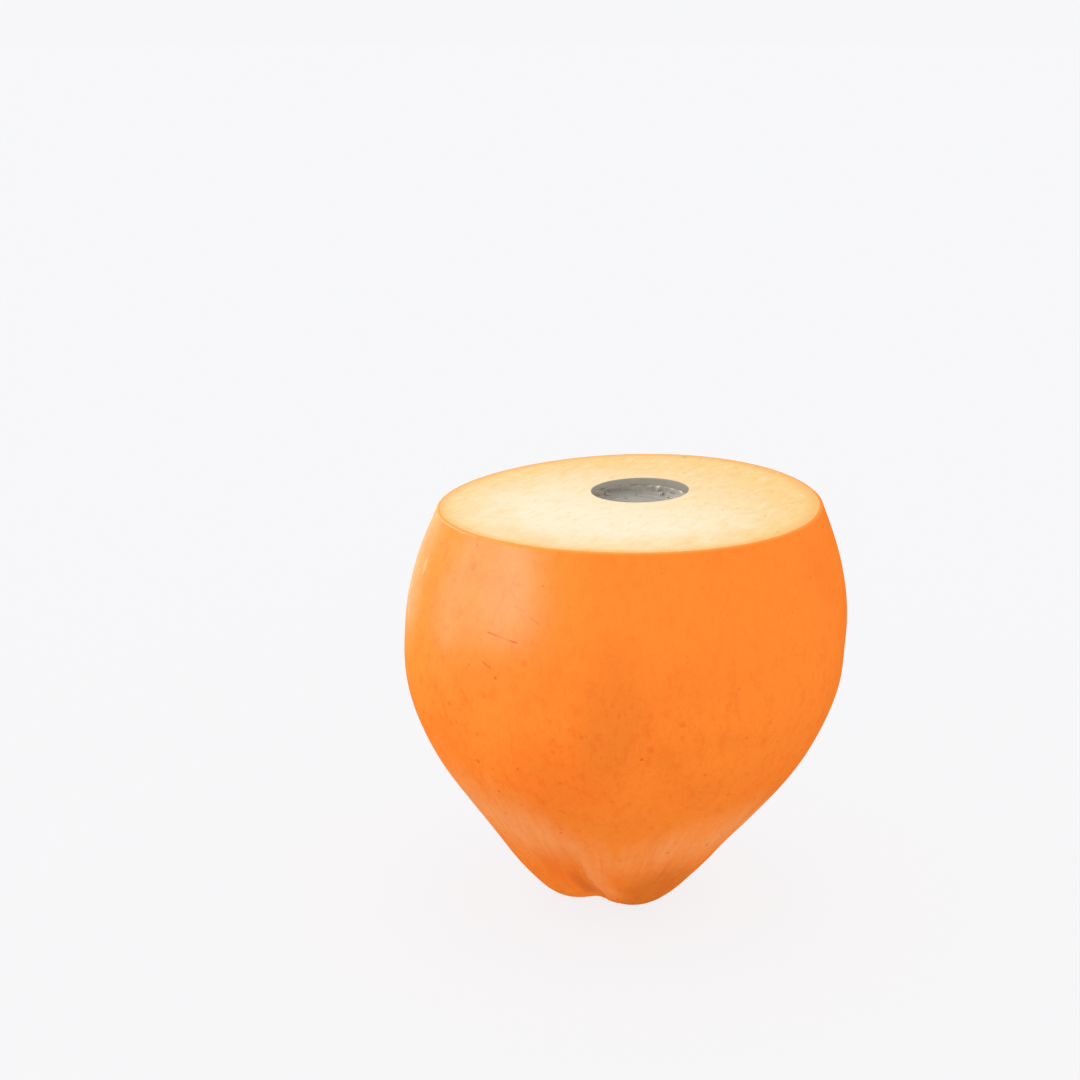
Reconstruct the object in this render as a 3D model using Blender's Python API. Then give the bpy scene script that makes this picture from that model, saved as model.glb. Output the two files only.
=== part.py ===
"""A king coconut opened for drinking. Metres, +Z up, standing on the three lobes of its tip.

husk            skin and pulp in one solid, cut flat across the top, with the drinking hole
shell           the hard layer that the hole cuts through, running right round the hollow
coconut_water   the drink, filling the shell up to the level that the hole shows
"""

import math

import bmesh
import bpy
import numpy as np
from mathutils import Matrix, Vector

MM = 0.001

# The fruit's outside: a dome above and a three-lobed cone below, blended where they meet.
BODY_WIDTH = 146 * MM
WIDEST_HEIGHT = 100.7 * MM
DOME_RISE = 83 * MM  # from the widest height up to where the uncut dome would close
DOME_POWER = 1.69
CONE_BASE_RADIUS = 28.6 * MM
CONE_SLOPE = 0.79  # radius gained for each metre of height
DOME_TO_CONE_BLEND = 18 * MM
LOBES = 3
FIRST_LOBE_AZIMUTH = math.radians(-46)
LOBE_OFFSET = 11.4 * MM  # from the fruit's axis to each lobe's own, at the tip
LOBE_FADE_HEIGHT = 60 * MM  # over which the lobes draw together
CLEFT_SOFTNESS = 2.0 * MM
RIDGE_SHARE = 0.023  # how far a blunt ridge stands out above each lobe, as a share of the radius
OVAL_SHARE = 0.015  # how far the fruit is out of round
OVAL_AZIMUTH = math.radians(-60)
TIP_LEAN = -6.9 * MM  # how far the tip leans to the left
LEAN_POWER = 1.2
FOOT_TRIM = 0.8 * MM  # what each lobe is flattened by where it bears

# The cut and the hole.
CUT_HEIGHT = 139 * MM
CUT_TILT = math.radians(1.75)  # the left side of the cut is the lower one
HOLE_CENTRE = Vector((1.8, 12.8)) * MM
HOLE_RADIUS = 16.1 * MM

# The nut inside the husk.
SHELL_WIDTH = 84 * MM
SHELL_THICKNESS = 4 * MM
SHELL_TOP_OVER_CUT = 2.1 * MM  # where its top would be, had the hole not taken it away
SHELL_RISE = 44 * MM  # from its widest height to its top
SHELL_DROP = 50 * MM  # from its widest height to its bottom
WATER_DEPTH_BELOW_CUT = 5 * MM
CLEARANCE = 0.3 * MM  # between pieces that touch

# How finely the round forms are divided.
HUSK_SEGMENTS, HUSK_RINGS = 80, 42
SHELL_SEGMENTS, SHELL_RINGS = 36, 20
HOLE_SEGMENTS = 48
CORE_HEIGHT = 30 * MM  # where the tip's surface points are seen from
SPARE = 14 * MM  # how far the uncut form goes on above the cut
FAR_OUT = 110 * MM  # outside the fruit in every direction
HALVINGS = 30  # of the stretch that a surface point is looked for in
AT_POLE = 1e-6  # the level part of a direction that points straight up or down
SMOOTH_UP_TO = math.radians(35)  # an edge that turns more than this stays sharp
HOLE_CUT_DEPTH = 3 * SHELL_THICKNESS  # how far under the cut the hole's form reaches
BLOCK_SIZE = 3 * FAR_OUT  # of the blocks that make the flat cuts

SKIN_COLOUR = (0.93, 0.26, 0.035, 1)
PULP_COLOUR = (0.97, 0.83, 0.58, 1)
SHELL_COLOUR = (0.33, 0.28, 0.22, 1)
WATER_COLOUR = (0.80, 0.80, 0.74, 1)


def clear_scene():
    for thing in list(bpy.data.objects):
        bpy.data.objects.remove(thing, do_unlink=True)


def new_collection(name):
    collection = bpy.data.collections.new(name)
    bpy.context.scene.collection.children.link(collection)
    return collection


def new_material(name, colour, roughness, transmission=0.0):
    material = bpy.data.materials.new(name)
    material.use_nodes = True
    shader = material.node_tree.nodes["Principled BSDF"]
    shader.inputs["Base Color"].default_value = colour
    shader.inputs["Roughness"].default_value = roughness
    shader.inputs["Metallic"].default_value = 0.0
    shader.inputs["Transmission Weight"].default_value = transmission
    material.diffuse_color = colour
    return material


def smooth_maximum(a, b, blend):
    share = np.clip(0.5 + 0.5 * (a - b) / blend, 0, 1)
    return b * (1 - share) + a * share + blend * share * (1 - share)


def dome_radius(height):
    above = np.clip(height - WIDEST_HEIGHT, 0, None) / DOME_RISE
    return BODY_WIDTH / 2 * np.sqrt(np.clip(1 - above**DOME_POWER, 0, 1))


def out_of_round(x, y):
    """The share of the dome's radius there is in a direction, its ridges above the lobes."""
    azimuth = np.arctan2(y, x)
    ridges = RIDGE_SHARE * np.cos(LOBES * (azimuth - FIRST_LOBE_AZIMUTH))
    oval = OVAL_SHARE * np.cos(2 * (azimuth - OVAL_AZIMUTH))
    return 1 + ridges + oval


def lobe_azimuths():
    return [FIRST_LOBE_AZIMUTH + n * math.tau / LOBES for n in range(LOBES)]


def distance_from_lobes(x, y, height):
    """How far a point is from the nearest lobe's axis, rounded where two lobes meet."""
    offset = LOBE_OFFSET * np.exp(-np.clip(height, 0, None) / LOBE_FADE_HEIGHT)
    apart = [
        np.hypot(x - offset * math.cos(azimuth), y - offset * math.sin(azimuth))
        for azimuth in lobe_azimuths()
    ]
    nearest = np.minimum.reduce(apart)
    nearness = sum(np.exp((nearest - d) / CLEFT_SOFTNESS) for d in apart)
    return nearest - CLEFT_SOFTNESS * np.log(nearness)


def lobe_radius(height):
    """A round-ended cone: a point at the floor, a straight slope further up."""
    base = CONE_BASE_RADIUS - LOBE_OFFSET
    rounding = base / CONE_SLOPE
    widening = np.clip((1 + height / rounding) ** 2 - 1, 0, None)
    return np.where(height > 0, base * np.sqrt(widening), height)


def outside_husk(x, y, height):
    """Over zero outside the uncut fruit and under zero inside it."""
    dome = np.hypot(x, y) - dome_radius(height) * out_of_round(x, y)
    cone = distance_from_lobes(x, y, height) - lobe_radius(height)
    return smooth_maximum(dome, cone, DOME_TO_CONE_BLEND)


def lean(height):
    share = np.clip(1 - height / CUT_HEIGHT, 0, 1)
    return TIP_LEAN * share**LEAN_POWER


def husk_points(directions):
    """Where the rays from the fruit's axis in these directions meet its surface.

    A direction below the horizon starts from the core point. One above it starts level,
    from a height on the axis that rises with it, so that the side is divided evenly.
    """
    flat = np.hypot(directions[:, 0], directions[:, 1])
    around = directions[:, :2] / np.maximum(flat, AT_POLE)[:, None]
    elevation = np.arctan2(directions[:, 2], flat)
    rise = np.clip(elevation, 0, None) / (math.pi / 2)
    start = CORE_HEIGHT + rise * (CUT_HEIGHT + SPARE - CORE_HEIGHT)
    level = np.where(elevation > 0, 1.0, flat) * (flat > AT_POLE)
    steps = np.column_stack((around * level[:, None], np.minimum(directions[:, 2], 0)))
    near, far = np.zeros(len(steps)), np.full(len(steps), FAR_OUT)
    for _ in range(HALVINGS):
        middle = (near + far) / 2
        x, y, drop = (steps * middle[:, None]).T
        inside = outside_husk(x, y, start + drop) < 0
        near, far = np.where(inside, middle, near), np.where(inside, far, middle)
    points = steps * near[:, None]
    points[:, 2] = np.maximum(points[:, 2] + start, FOOT_TRIM)
    points[:, 0] += lean(points[:, 2])
    return points


def shell_top():
    return CUT_HEIGHT + SHELL_TOP_OVER_CUT


def egg_points(directions, inset):
    """The nut's egg form, smaller by the inset, its axis running from the tip to the hole."""
    up = directions[:, 2] > 0
    middle = shell_top() - SHELL_RISE
    half_height = np.where(up, SHELL_RISE, SHELL_DROP) - inset
    points = directions * (SHELL_WIDTH / 2 - inset)
    points[:, 2] = middle + directions[:, 2] * half_height
    along = (points[:, 2] - middle + SHELL_DROP) / (SHELL_RISE + SHELL_DROP)
    points[:, 0] += along * HOLE_CENTRE.x
    points[:, 1] += along * HOLE_CENTRE.y
    return points


def reshaped_sphere(name, segments, rings, place):
    """A UV sphere whose every point is moved to where the form puts its direction."""
    build = bmesh.new()
    bmesh.ops.create_uvsphere(build, u_segments=segments, v_segments=rings, radius=1)
    directions = np.array([vertex.co for vertex in build.verts], float)
    for vertex, point in zip(build.verts, place(directions)):
        vertex.co = point
    mesh = bpy.data.meshes.new(name)
    build.to_mesh(mesh)
    build.free()
    return bpy.data.objects.new(name, mesh)


def box(name, bottom_centre, tilt=0.0):
    """A large block whose bottom face passes through the given point."""
    bpy.ops.mesh.primitive_cube_add(size=BLOCK_SIZE)
    block = bpy.context.object
    block.name = name
    block.data.transform(Matrix.Translation((0, 0, BLOCK_SIZE / 2)))
    block.rotation_euler = (0, tilt, 0)
    block.location = bottom_centre
    return block


def cylinder(name, radius, bottom, top):
    bpy.ops.mesh.primitive_cylinder_add(
        vertices=HOLE_SEGMENTS,
        radius=radius,
        depth=top - bottom,
        location=(*HOLE_CENTRE, (top + bottom) / 2),
    )
    round_bar = bpy.context.object
    round_bar.name = name
    return round_bar


def put_in(collection, thing, parent=None):
    for old in list(thing.users_collection):
        old.objects.unlink(thing)
    collection.objects.link(thing)
    thing.parent = parent
    return thing


def make_cutter(collection, thing, parent, material):
    thing.hide_render = True
    thing.display_type = "WIRE"
    thing.data.materials.append(material)
    return put_in(collection, thing, parent)


def combine(thing, other, operation, name):
    modifier = thing.modifiers.new(name, "BOOLEAN")
    modifier.operation = operation
    modifier.solver = "EXACT"
    modifier.material_mode = "TRANSFER"
    modifier.object = other


def shade(thing):
    thing.data.shade_smooth()
    thing.data.set_sharp_from_angle(angle=SMOOTH_UP_TO)


def make_husk(parts, fruit, cutters, skin):
    husk = reshaped_sphere("husk", HUSK_SEGMENTS, HUSK_RINGS, husk_points)
    husk.data.materials.append(skin)
    shade(husk)
    combine(husk, cutters["top"], "DIFFERENCE", "flat_cut")
    combine(husk, cutters["nut"], "DIFFERENCE", "hollow")
    combine(husk, cutters["hole"], "DIFFERENCE", "drinking_hole")
    return put_in(parts, husk, fruit)


def make_shell(parts, fruit, cutters, material):
    shell = reshaped_sphere(
        "shell", SHELL_SEGMENTS, SHELL_RINGS, lambda ways: egg_points(ways, 0.0)
    )
    shell.data.materials.append(material)
    shade(shell)
    combine(shell, cutters["hollow"], "DIFFERENCE", "hollow")
    combine(shell, cutters["hole"], "DIFFERENCE", "drinking_hole")
    return put_in(parts, shell, fruit)


def make_water(parts, fruit, cutters, material):
    inset = SHELL_THICKNESS + CLEARANCE
    water = reshaped_sphere(
        "coconut_water", SHELL_SEGMENTS, SHELL_RINGS, lambda ways: egg_points(ways, inset)
    )
    water.data.materials.append(material)
    shade(water)
    combine(water, cutters["neck"], "UNION", "neck")
    combine(water, cutters["air"], "DIFFERENCE", "level")
    return put_in(parts, water, fruit)


def make_cutters(collection, fruit, pulp, shell, water):
    """The blocks and round forms that cut the hollow, the hole, the flat top and the level."""
    level = CUT_HEIGHT - WATER_DEPTH_BELOW_CUT
    below_shell = CUT_HEIGHT - HOLE_CUT_DEPTH
    egg = (SHELL_SEGMENTS, SHELL_RINGS)
    made = {
        "top": (box("top_cut", (0, 0, CUT_HEIGHT), -CUT_TILT), pulp),
        "nut": (
            reshaped_sphere("nut_form", *egg, lambda ways: egg_points(ways, -CLEARANCE)),
            pulp,
        ),
        "hole": (
            cylinder("hole_cut", HOLE_RADIUS, below_shell, CUT_HEIGHT + SPARE),
            pulp,
        ),
        "hollow": (
            reshaped_sphere(
                "hollow_form", *egg, lambda ways: egg_points(ways, SHELL_THICKNESS)
            ),
            shell,
        ),
        "neck": (
            cylinder("neck_form", HOLE_RADIUS - CLEARANCE, below_shell, CUT_HEIGHT),
            water,
        ),
        "air": (box("air_above_water", (0, 0, level)), water),
    }
    return {
        name: make_cutter(collection, thing, fruit, material)
        for name, (thing, material) in made.items()
    }


def centre_on_origin(fruit, husk):
    """Puts the middle of the husk's box over the origin and its feet on the floor."""
    x = [vertex.co.x for vertex in husk.data.vertices]
    y = [vertex.co.y for vertex in husk.data.vertices]
    fruit.location = (-(min(x) + max(x)) / 2, -(min(y) + max(y)) / 2, -FOOT_TRIM)


def build():
    clear_scene()
    parts = new_collection("king_coconut")
    helpers = new_collection("cutters")
    skin = new_material("orange_skin", SKIN_COLOUR, roughness=0.4)
    pulp = new_material("cream_pulp", PULP_COLOUR, roughness=0.7)
    hard_shell = new_material("grey_brown_shell", SHELL_COLOUR, roughness=0.5)
    clear_water = new_material("cloudy_water", WATER_COLOUR, roughness=0.05, transmission=0.9)
    fruit = bpy.data.objects.new("fruit", None)
    parts.objects.link(fruit)
    cutters = make_cutters(helpers, fruit, pulp, hard_shell, clear_water)
    husk = make_husk(parts, fruit, cutters, skin)
    make_shell(parts, fruit, cutters, hard_shell)
    make_water(parts, fruit, cutters, clear_water)
    centre_on_origin(fruit, husk)


build()
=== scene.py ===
"""Looks of a king coconut opened for drinking, around the frame of its solids. Metres, +Z up.

husk_skin       the waxy orange skin, down to the lobes of the tip, with the fold between them
husk_pulp       the fibrous pulp: its cut face, the wall of the hole and the bed of the nut
shell_layer     the hard layer that shows in the hole, and runs round the hollow
water_in_shell  the drink, with an edge that climbs the shell, ripples and small bubbles
"""

import math
import random

import bmesh
import bpy
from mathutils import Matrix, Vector, kdtree, noise


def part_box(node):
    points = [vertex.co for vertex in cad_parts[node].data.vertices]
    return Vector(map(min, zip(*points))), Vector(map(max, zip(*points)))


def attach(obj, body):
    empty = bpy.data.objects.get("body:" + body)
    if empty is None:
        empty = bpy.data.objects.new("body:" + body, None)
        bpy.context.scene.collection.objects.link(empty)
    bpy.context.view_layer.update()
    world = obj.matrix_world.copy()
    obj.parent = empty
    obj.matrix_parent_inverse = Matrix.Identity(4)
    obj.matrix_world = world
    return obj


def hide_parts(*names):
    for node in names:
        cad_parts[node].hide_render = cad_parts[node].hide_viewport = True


MM = 0.001

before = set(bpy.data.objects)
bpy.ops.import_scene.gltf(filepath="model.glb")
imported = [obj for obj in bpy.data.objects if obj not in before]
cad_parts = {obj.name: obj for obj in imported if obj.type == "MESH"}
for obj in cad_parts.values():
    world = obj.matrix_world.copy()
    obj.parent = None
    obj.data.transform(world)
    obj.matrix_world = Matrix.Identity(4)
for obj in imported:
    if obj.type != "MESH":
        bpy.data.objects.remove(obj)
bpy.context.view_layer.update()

# The fruit's own places, in the frame's coordinates.
FRUIT_AXIS = Vector((2.83, -1.00)) * MM
TIP_LEAN = -6.9 * MM  # how far the tip lies to the left of the axis
LEAN_POWER = 1.2
CUT_CENTRE = Vector((2.83, -1.00, 138.2)) * MM
CUT_TILT = math.radians(1.75)  # the left side of the cut is the lower one
HOLE_CENTRE = Vector((4.63, 11.80)) * MM
HOLE_RADIUS = 16.1 * MM
WATER_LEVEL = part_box("coconut_water")[1][2]

# How finely the pieces are drawn.
WALL_SEGMENTS = 96
TIP_RINGS = 24
SIDE_LOOPS = 24
SMOOTH_LEVELS = 2
EASE_FACTOR, EASE_ROUNDS = 0.5, 2
FACE_LOOPS = 88
NUT_SEGMENTS, NUT_RINGS = 96, 48
NUT_SMOOTH_LEVELS = 1
RING_LOOPS = 6
WATER_LOOPS = 40
SMOOTH_ANGLE = math.radians(50)  # edges blunter than this are shaded smooth

# The wall's tub, and the thickness and edges of the skin.
TUB_RADIUS = 92 * MM  # outside the fruit all round
RIM_RADIUS = 62 * MM  # about the radius of the cut
RIM_SPARE = 0.1 * MM  # how far under the cut the wall's top points are drawn in
CORE = Vector((0.0, -1.0, 42.0)) * MM  # the middle that the tip is seen from
SKIN_THICKNESS = 1.2 * MM
SKIN_OVERLAP = 0.12 * MM  # how far the pulp reaches into the skin
RIM_DROP = 0.08 * MM  # how far the skin's edge lies under the pulp's cut face
RIM_ROUNDING, RIM_ROUNDING_STEPS = 0.55 * MM, 4

# The relief of the skin. A rate is how fast a pattern changes round the fruit, a rise how fast it
# changes up it, and a fade how far from the cut or the floor it comes to its full height. A foot
# or a top is the pair of heights between which it comes in or dies out.
RIB_HEIGHT, RIB_RATE, RIB_RISE, RIB_SEED = 1.0 * MM, 2.4, 7, Vector((3.1, 0.4, 5.2))
RIB_FADE_TOP, RIB_FADE_FOOT = 12 * MM, 20 * MM
DENT_HEIGHT, DENT_SIZE, DENT_SEED = 0.5 * MM, 24 * MM, Vector((1.7, 9.2, 4.4))
DENT_FADE = 6 * MM
FURROW_HEIGHT, FURROW_RATE, FURROW_RISE = 0.25 * MM, 17, 20
FURROW_FOOT = (1.5 * MM, 5 * MM)
FURROW_TOP = (18 * MM, 62 * MM)

# The fold between the two front lobes. It runs down the flank and bends into the cleft of the tip.
FOLD_AZIMUTH, FOLD_BEND = math.radians(-105.5), math.radians(9.5)
BEND_SPAN = (6 * MM, 18 * MM)  # the heights between which it straightens
FOLD_FOOT = (2 * MM, 7 * MM)
FOLD_TOP = (22 * MM, 42 * MM)
FOLD_HEIGHT, HOLLOW_WIDTH, SWELL_WIDTH, SWELL_SHARE = 1.3 * MM, 3.6 * MM, 4.2 * MM, 0.75
CREASE_DEPTH, CREASE_WIDTH = 0.5 * MM, 1.1 * MM

# The nut's balls.
NUT_MIDDLE = Vector((*HOLE_CENTRE, 96 * MM))
NUT_OUTSIDE = 62 * MM  # a radius outside the nut all round
NUT_INSIDE = 20 * MM  # a radius inside its hollow all round
NUT_TOP = 137 * MM
SHELL_THICKNESS = 4 * MM
HOLE_SPARE = 1.2 * MM  # how much farther than the hole the balls are opened at first
SHELL_LIP = 0.15 * MM  # how far the hard shell stands into the hole
BED_OVERLAP = 0.3 * MM  # how far the pulp reaches into the shell
HACK_HEIGHT, HACK_SIZE, HACK_REACH = 0.5 * MM, 3 * MM, 1 * MM

# The cut face.
HOLE_ROUNDING, HOLE_ROUNDING_STEPS = 0.25 * MM, 3
HOLE_WALL_LOOPS = 3
CUT_RELIEF, CUT_RELIEF_DEPTH = 0.5 * MM, 0.3 * MM  # its height, and how far under the cut it acts
HOLE_FADE = 4 * MM  # how far from the hole the relief comes to its height
RIM_FADE = (54 * MM, 59 * MM)  # the radii between which it dies out towards the skin
WAVE_SIZE, WAVE_SQUEEZE, WAVE_SHARE = 22 * MM, 2.2, 0.9
FIBRE_SIZE, FIBRE_SHARE = 1.8 * MM, 0.4
FIBRE_TURN = math.radians(62)  # the way that the knife drew the fibres, round from +X
FIBRE_STRETCH = 0.35

# The drink.
WATER_OVERLAP = 0.25 * MM  # how far it reaches into the shell
WATER_TOP_DEPTH = 0.25 * MM  # what lies less than this under its level is its surface
WATER_MIDDLE = 0.4 * MM  # the radius of the face at the middle of its surface
CLIMB_HEIGHT, CLIMB_WIDTH = 0.7 * MM, 1.1 * MM
RIPPLE_HEIGHT, RIPPLE_LENGTH, RIPPLE_FADE = 0.5 * MM, 4.2 * MM, 11 * MM
RIPPLE_SOURCE = Vector((-1.5, 1.0)) * MM
RING_SHARE, SWAY_SHARE, SWAY_SIZE = 0.6, 0.4, 5 * MM
BUBBLES, BUBBLE_SEED = 16, 11
BUBBLE_SEGMENTS, BUBBLE_RINGS = 24, 16
BUBBLE_RADII = (0.35 * MM, 1.05 * MM)
BUBBLE_SHIFT = 0.4  # the share of their spacing by which they are moved round the shell
BUBBLE_STRAY = 7 * MM  # how far from the shell a bubble may float
BUBBLE_CROWDING = 2.5  # the higher, the more of them keep close to it
BUBBLE_CUT = 0.5  # the share of its radius under its middle where a bubble is cut flat
BUBBLE_SINK = 0.3  # the share of its radius by which that flat lies under the drink

# How near counts as lying on the skin's edge, the cut, the pulp's rim and the wall of the hole,
# and the rise of a face's normal past which it is the skin's cut top, or the pulp's.
ON_SKIN_EDGE, ON_CUT, ON_PULP_RIM, ON_HOLE = 1e-6, 1e-5, 0.01 * MM, 0.05 * MM
RIM_FACES_UP, CUT_FACES_UP = 0.9, 0.8


def cut_height(x):
    """The height of the cut's plane at a place across the fruit."""
    return CUT_CENTRE.z + (x - CUT_CENTRE.x) * math.tan(CUT_TILT)


def under_cut(place):
    return cut_height(place.x) - place.z


def soft_step(value, low, high):
    share = min(max((value - low) / (high - low), 0), 1)
    return share * share * (3 - 2 * share)


def layered_noise(place, layers):
    """Noise of some layers, each twice as fine and half as strong as the one before."""
    return noise.fractal(place, 1.0, 2.0, layers)


def lean_at(height):
    share = min(max(1 - height / CUT_CENTRE.z, 0), 1)
    return TIP_LEAN * share**LEAN_POWER


def way_round(place):
    """The level direction from the fruit's leaning axis to a place, one unit long."""
    x = place.x - FRUIT_AXIS.x - lean_at(place.z)
    return Vector((x, place.y - FRUIT_AXIS.y, 0)).normalized()


def from_hole_axis(place):
    return (place.xy - HOLE_CENTRE).length


# Working on a piece as by hand.


def clear_selection():
    if bpy.context.mode != "OBJECT":
        bpy.ops.object.mode_set(mode="OBJECT")
    bpy.ops.object.select_all(action="DESELECT")


def take(*things):
    """Makes these the selected objects, the first one active."""
    clear_selection()
    for thing in things:
        thing.select_set(True)
    bpy.context.view_layer.objects.active = things[0]


def edit(piece):
    """Opens a piece for editing, with nothing picked."""
    take(piece)
    bpy.ops.object.mode_set(mode="EDIT")
    bpy.ops.mesh.select_mode(type="VERT")
    bpy.ops.mesh.select_all(action="DESELECT")


def pick_points(piece, rule):
    """In edit mode, selects the points for which the rule holds."""
    bpy.ops.mesh.select_mode(type="VERT")
    bpy.ops.mesh.select_all(action="DESELECT")
    shape = bmesh.from_edit_mesh(piece.data)
    for point in shape.verts:
        point.select_set(rule(point))
    shape.select_flush(True)
    bmesh.update_edit_mesh(piece.data)


def pick_edges(piece, rule):
    """In edit mode, selects the edges for which the rule holds."""
    bpy.ops.mesh.select_mode(type="EDGE")
    bpy.ops.mesh.select_all(action="DESELECT")
    shape = bmesh.from_edit_mesh(piece.data)
    for edge in shape.edges:
        edge.select_set(rule(edge))
    bmesh.update_edit_mesh(piece.data)


def is_open(edge):
    return edge.is_boundary or edge.is_wire


def move_open_points(piece, rule):
    """Puts the points of a piece's open edge where the rule says."""
    edit(piece)
    shape = bmesh.from_edit_mesh(piece.data)
    for point in shape.verts:
        if point.is_boundary:
            point.co = rule(point.co)
    bmesh.update_edit_mesh(piece.data)
    clear_selection()


def divide_open_edges(piece, parts):
    edit(piece)
    pick_edges(piece, is_open)
    bpy.ops.mesh.subdivide(number_cuts=parts - 1)
    clear_selection()


def bridge_open_edges(piece, loops=0):
    edit(piece)
    pick_edges(piece, is_open)
    bpy.ops.mesh.bridge_edge_loops(number_cuts=loops, interpolation="LINEAR")
    clear_selection()


def turn_inside_out(piece):
    edit(piece)
    bpy.ops.mesh.select_all(action="SELECT")
    bpy.ops.mesh.flip_normals()
    clear_selection()


def face_outwards(piece):
    edit(piece)
    bpy.ops.mesh.select_all(action="SELECT")
    bpy.ops.mesh.normals_make_consistent(inside=False)
    clear_selection()


def apply_modifiers(piece):
    take(piece)
    for modifier in list(piece.modifiers):
        bpy.ops.object.modifier_apply(modifier=modifier.name)


def settle(piece):
    """Leaves the piece's object at the origin, unturned and unscaled."""
    take(piece)
    bpy.ops.object.transform_apply(location=True, rotation=True, scale=True)


def duplicate(piece, name):
    take(piece)
    bpy.ops.object.duplicate()
    copy = bpy.context.object
    copy.name = name
    copy.data.name = name
    return copy


def join(piece, *others):
    take(piece, *others)
    bpy.ops.object.join()


def wrap_onto(piece, node, outwards=False):
    """Draws the piece's points along their normals onto a solid of the frame."""
    wrap = piece.modifiers.new("wrap", "SHRINKWRAP")
    wrap.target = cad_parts[node]
    wrap.wrap_method = "PROJECT"
    wrap.use_negative_direction = not outwards
    wrap.use_positive_direction = outwards
    ease = piece.modifiers.new("ease", "SMOOTH")
    ease.factor = EASE_FACTOR
    ease.iterations = EASE_ROUNDS
    apply_modifiers(piece)


def smooth_surface(piece, levels):
    subdivide = piece.modifiers.new("smooth_surface", "SUBSURF")
    subdivide.levels = levels
    subdivide.render_levels = levels
    apply_modifiers(piece)


def move_along_normals(piece, height, group="", direction="NORMAL"):
    displace = piece.modifiers.new("move_along_normals", "DISPLACE")
    displace.mid_level = 0
    displace.strength = height
    displace.vertex_group = group
    displace.direction = direction
    apply_modifiers(piece)


def push_out(piece, name, height, rule, direction="NORMAL"):
    """Raises or sinks the surface by a height times the rule's value, from -1 to 1."""
    values = [rule(point.co) for point in piece.data.vertices]
    for side in (1, -1):
        group = piece.vertex_groups.new(name=name)
        shape = bmesh.new()
        shape.from_mesh(piece.data)
        weights = shape.verts.layers.deform.verify()
        for point, value in zip(shape.verts, values):
            if side * value > 0:
                point[weights][group.index] = min(side * value, 1.0)
        shape.to_mesh(piece.data)
        shape.free()
        move_along_normals(piece, side * height, group.name, direction)
        piece.vertex_groups.remove(piece.vertex_groups[name])


# The husk's wall, drawn onto its solid.


def draw_wall_cage():
    """A round-bottomed tub around the husk, drawn in onto its side and the lobes of its tip."""
    clear_selection()
    bpy.ops.mesh.primitive_uv_sphere_add(
        segments=WALL_SEGMENTS, ring_count=2 * TIP_RINGS, radius=TUB_RADIUS, location=CORE
    )
    cage = bpy.context.object
    cage.name = "wall_cage"
    settle(cage)
    edit(cage)
    bpy.ops.mesh.select_all(action="SELECT")
    bpy.ops.mesh.bisect(plane_co=CORE, plane_no=(0, 0, 1), clear_outer=True)
    pick_edges(cage, is_open)
    rise = CUT_CENTRE.z - CORE.z
    for _ in range(SIDE_LOOPS):
        bpy.ops.mesh.extrude_region_move(
            TRANSFORM_OT_translate={"value": (0, 0, rise / SIDE_LOOPS)}
        )
    clear_selection()
    tilt_side_loops(cage, rise)
    wrap_onto(cage, "husk")
    push_out(cage, "broad_ribs", RIB_HEIGHT, broad_ribs)
    push_out(cage, "soft_dents", DENT_HEIGHT, soft_dents)
    push_out(cage, "fold", FOLD_HEIGHT, fold)
    move_open_points(cage, lambda place: Vector((*place.xy, cut_height(place.x))))
    return cage


def tilt_side_loops(cage, rise):
    """Tips the loops of the side over, the higher the more, to lie along the tilted cut."""
    for point in cage.data.vertices:
        share = max(point.co.z - CORE.z, 0) / rise
        across = (point.co.x - CUT_CENTRE.x) * RIM_RADIUS / TUB_RADIUS
        point.co.z += share * (across * math.tan(CUT_TILT) - RIM_SPARE)


# The skin.


def broad_ribs(place):
    """Blunt ribs that run down the fruit, a few centimetres across."""
    way = way_round(place) * RIB_RATE
    swell = noise.noise(Vector((way.x, way.y, place.z * RIB_RISE)) + RIB_SEED)
    swell *= soft_step(under_cut(place), 0, RIB_FADE_TOP)
    return swell * soft_step(place.z, 0, RIB_FADE_FOOT)


def soft_dents(place):
    dent = layered_noise(place / DENT_SIZE + DENT_SEED, 2)
    dent *= soft_step(under_cut(place), 0, DENT_FADE)
    return dent * soft_step(place.z, 0, DENT_FADE)


def across_fold(place):
    """How far a place lies round the fruit from the fold, to the right of it if positive."""
    way = way_round(place)
    bend = FOLD_BEND * (1 - soft_step(place.z, *BEND_SPAN))
    turn = math.atan2(way.y, way.x) - FOLD_AZIMUTH - bend
    turn = (turn + math.pi) % math.tau - math.pi
    reach = Vector((place.x - FRUIT_AXIS.x - lean_at(place.z), place.y - FRUIT_AXIS.y)).length
    return turn * reach


def along_fold(place):
    """From 1 low on the fold to 0 at its foot and where it dies out up the flank."""
    return (1 - soft_step(place.z, *FOLD_TOP)) * soft_step(place.z, *FOLD_FOOT)


def fold(place):
    """A hollow on the left of the fold, and the right lobe's edge swelling over it."""
    across = across_fold(place)
    hollow = math.exp(-(((across + HOLLOW_WIDTH) / HOLLOW_WIDTH) ** 2))
    swell = math.exp(-(((across - SWELL_WIDTH) / SWELL_WIDTH) ** 2))
    return along_fold(place) * (SWELL_SHARE * swell - hollow)


def crease(place):
    """A narrow line pressed in along the middle of the fold."""
    return -along_fold(place) * math.exp(-((across_fold(place) / CREASE_WIDTH) ** 2))


def tip_furrows(place):
    """Fine furrows that gather towards the tip."""
    way = way_round(place) * FURROW_RATE
    line = noise.noise(Vector((way.x, way.y, place.z * FURROW_RISE)))
    low_down = 1 - soft_step(place.z, *FURROW_TOP)
    return line * low_down * soft_step(place.z, *FURROW_FOOT)


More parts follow.
